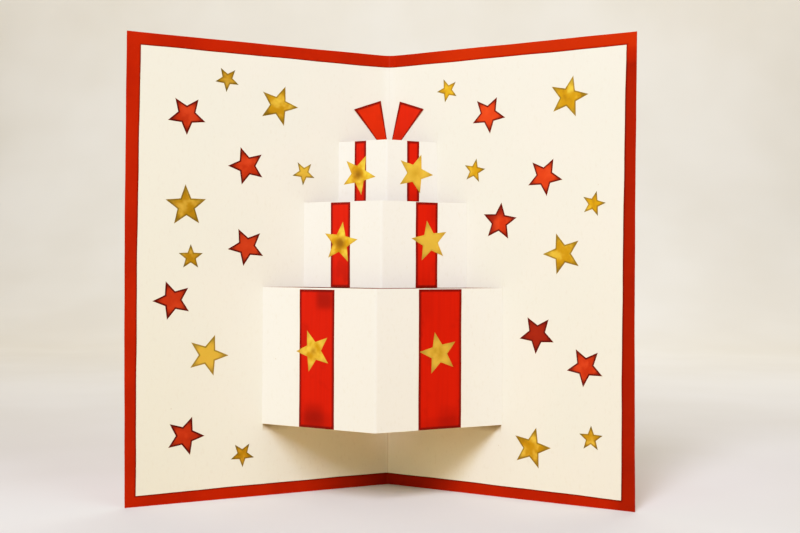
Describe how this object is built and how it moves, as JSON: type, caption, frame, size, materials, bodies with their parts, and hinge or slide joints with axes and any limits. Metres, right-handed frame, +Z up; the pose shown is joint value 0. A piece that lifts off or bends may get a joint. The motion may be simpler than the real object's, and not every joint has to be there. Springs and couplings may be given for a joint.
{
  "type": "pop up card",
  "caption": "Open pop-up greeting card: red folded cover, cream sheet with box tiers cut and folded forward as a stack of wrapped presents, with star stickers.",
  "frame": {"origin": "foot of the spine fold, at the middle of the red card's thickness, on the plane that the card stands on", "axes": "+X to the viewer's right, -Y out of the open card towards the viewer, +Z up along the spine"},
  "size_m": [0.224, 0.0624, 0.21],
  "materials": {
    "red_card": "matte red card stock",
    "cream_card": "matte cream card stock with a fine grain",
    "ribbon_paper": "glossy red paper",
    "red_foil": "red metallic foil sticker",
    "gold_foil": "gold metallic foil sticker"
  },
  "bodies": {
    "root": {"outer_card": "red_card", "pop_up_sheet": "cream_card", "ribbon_lower_left": "ribbon_paper", "ribbon_lower_right": "ribbon_paper", "ribbon_middle_left": "ribbon_paper", "ribbon_middle_right": "ribbon_paper", "ribbon_top_left": "ribbon_paper", "ribbon_top_right": "ribbon_paper", "bow_left": "ribbon_paper", "bow_right": "ribbon_paper", "red_star_01": "red_foil", "red_star_02": "red_foil", "red_star_03": "red_foil", "red_star_04": "red_foil", "red_star_05": "red_foil", "red_star_06": "red_foil", "red_star_07": "red_foil", "red_star_08": "red_foil", "red_star_09": "red_foil", "red_star_10": "red_foil", "gold_star_01": "gold_foil", "gold_star_02": "gold_foil", "gold_star_03": "gold_foil", "gold_star_04": "gold_foil", "gold_star_05": "gold_foil", "gold_star_06": "gold_foil", "small_gold_star_01": "gold_foil", "small_gold_star_02": "gold_foil", "small_gold_star_03": "gold_foil", "small_gold_star_04": "gold_foil", "small_gold_star_05": "gold_foil", "small_gold_star_06": "gold_foil", "small_gold_star_07": "gold_foil", "small_gold_star_08": "gold_foil", "ribbon_star_lower_left": "gold_foil", "ribbon_star_lower_right": "gold_foil", "ribbon_star_middle_left": "gold_foil", "ribbon_star_middle_right": "gold_foil", "ribbon_star_top_left": "gold_foil", "ribbon_star_top_right": "gold_foil"}
  },
  "joints": []
}
